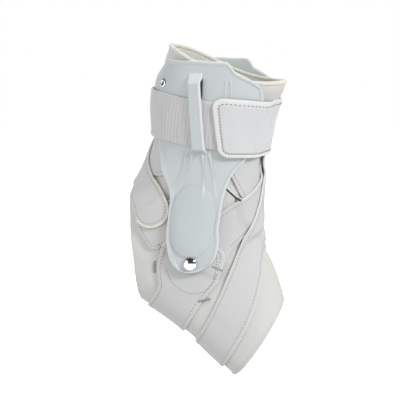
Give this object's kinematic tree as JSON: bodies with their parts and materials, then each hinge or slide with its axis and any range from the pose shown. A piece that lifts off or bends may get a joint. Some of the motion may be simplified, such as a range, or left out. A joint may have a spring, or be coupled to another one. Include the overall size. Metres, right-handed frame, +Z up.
{
  "type": "ankle brace",
  "caption": "Padded open-heel ankle brace with riveted side shells, a stirrup, crossed wrap straps and an elastic top strap, closed as worn on a right ankle.",
  "frame": {"origin": "middle of the ankle inside the brace, between the two shells and just under the ankle bones' height", "axes": "+X towards the toes, -Y towards the outer side of the right ankle, +Z up as in the picture, along the leg as it leans"},
  "size_m": [0.131, 0.1035, 0.2629],
  "materials": {
    "knit": "padded off-white knit",
    "binding": "cream edge tape",
    "strap": "light grey laminated strap cloth",
    "elastic": "ribbed grey elastic webbing",
    "tab": "smooth pale synthetic leather, stitched",
    "plastic": "light blue-grey moulded plastic, satin",
    "chrome": "polished"
  },
  "bodies": {
    "root": {"sleeve": "knit", "top_binding": "binding", "foot_binding": "binding", "rear_anchor_strap": "strap", "inner_wrap_strap": "strap", "instep_strap": "strap", "stirrup_strap": "strap", "outer_wrap_strap": "strap", "shell_outer": "plastic", "rivet_outer": "chrome", "eyelet_outer": "chrome", "shell_inner": "plastic", "rivet_inner": "chrome", "eyelet_inner": "chrome", "top_strap": "elastic", "top_strap_tab": "tab"}
  },
  "joints": []
}
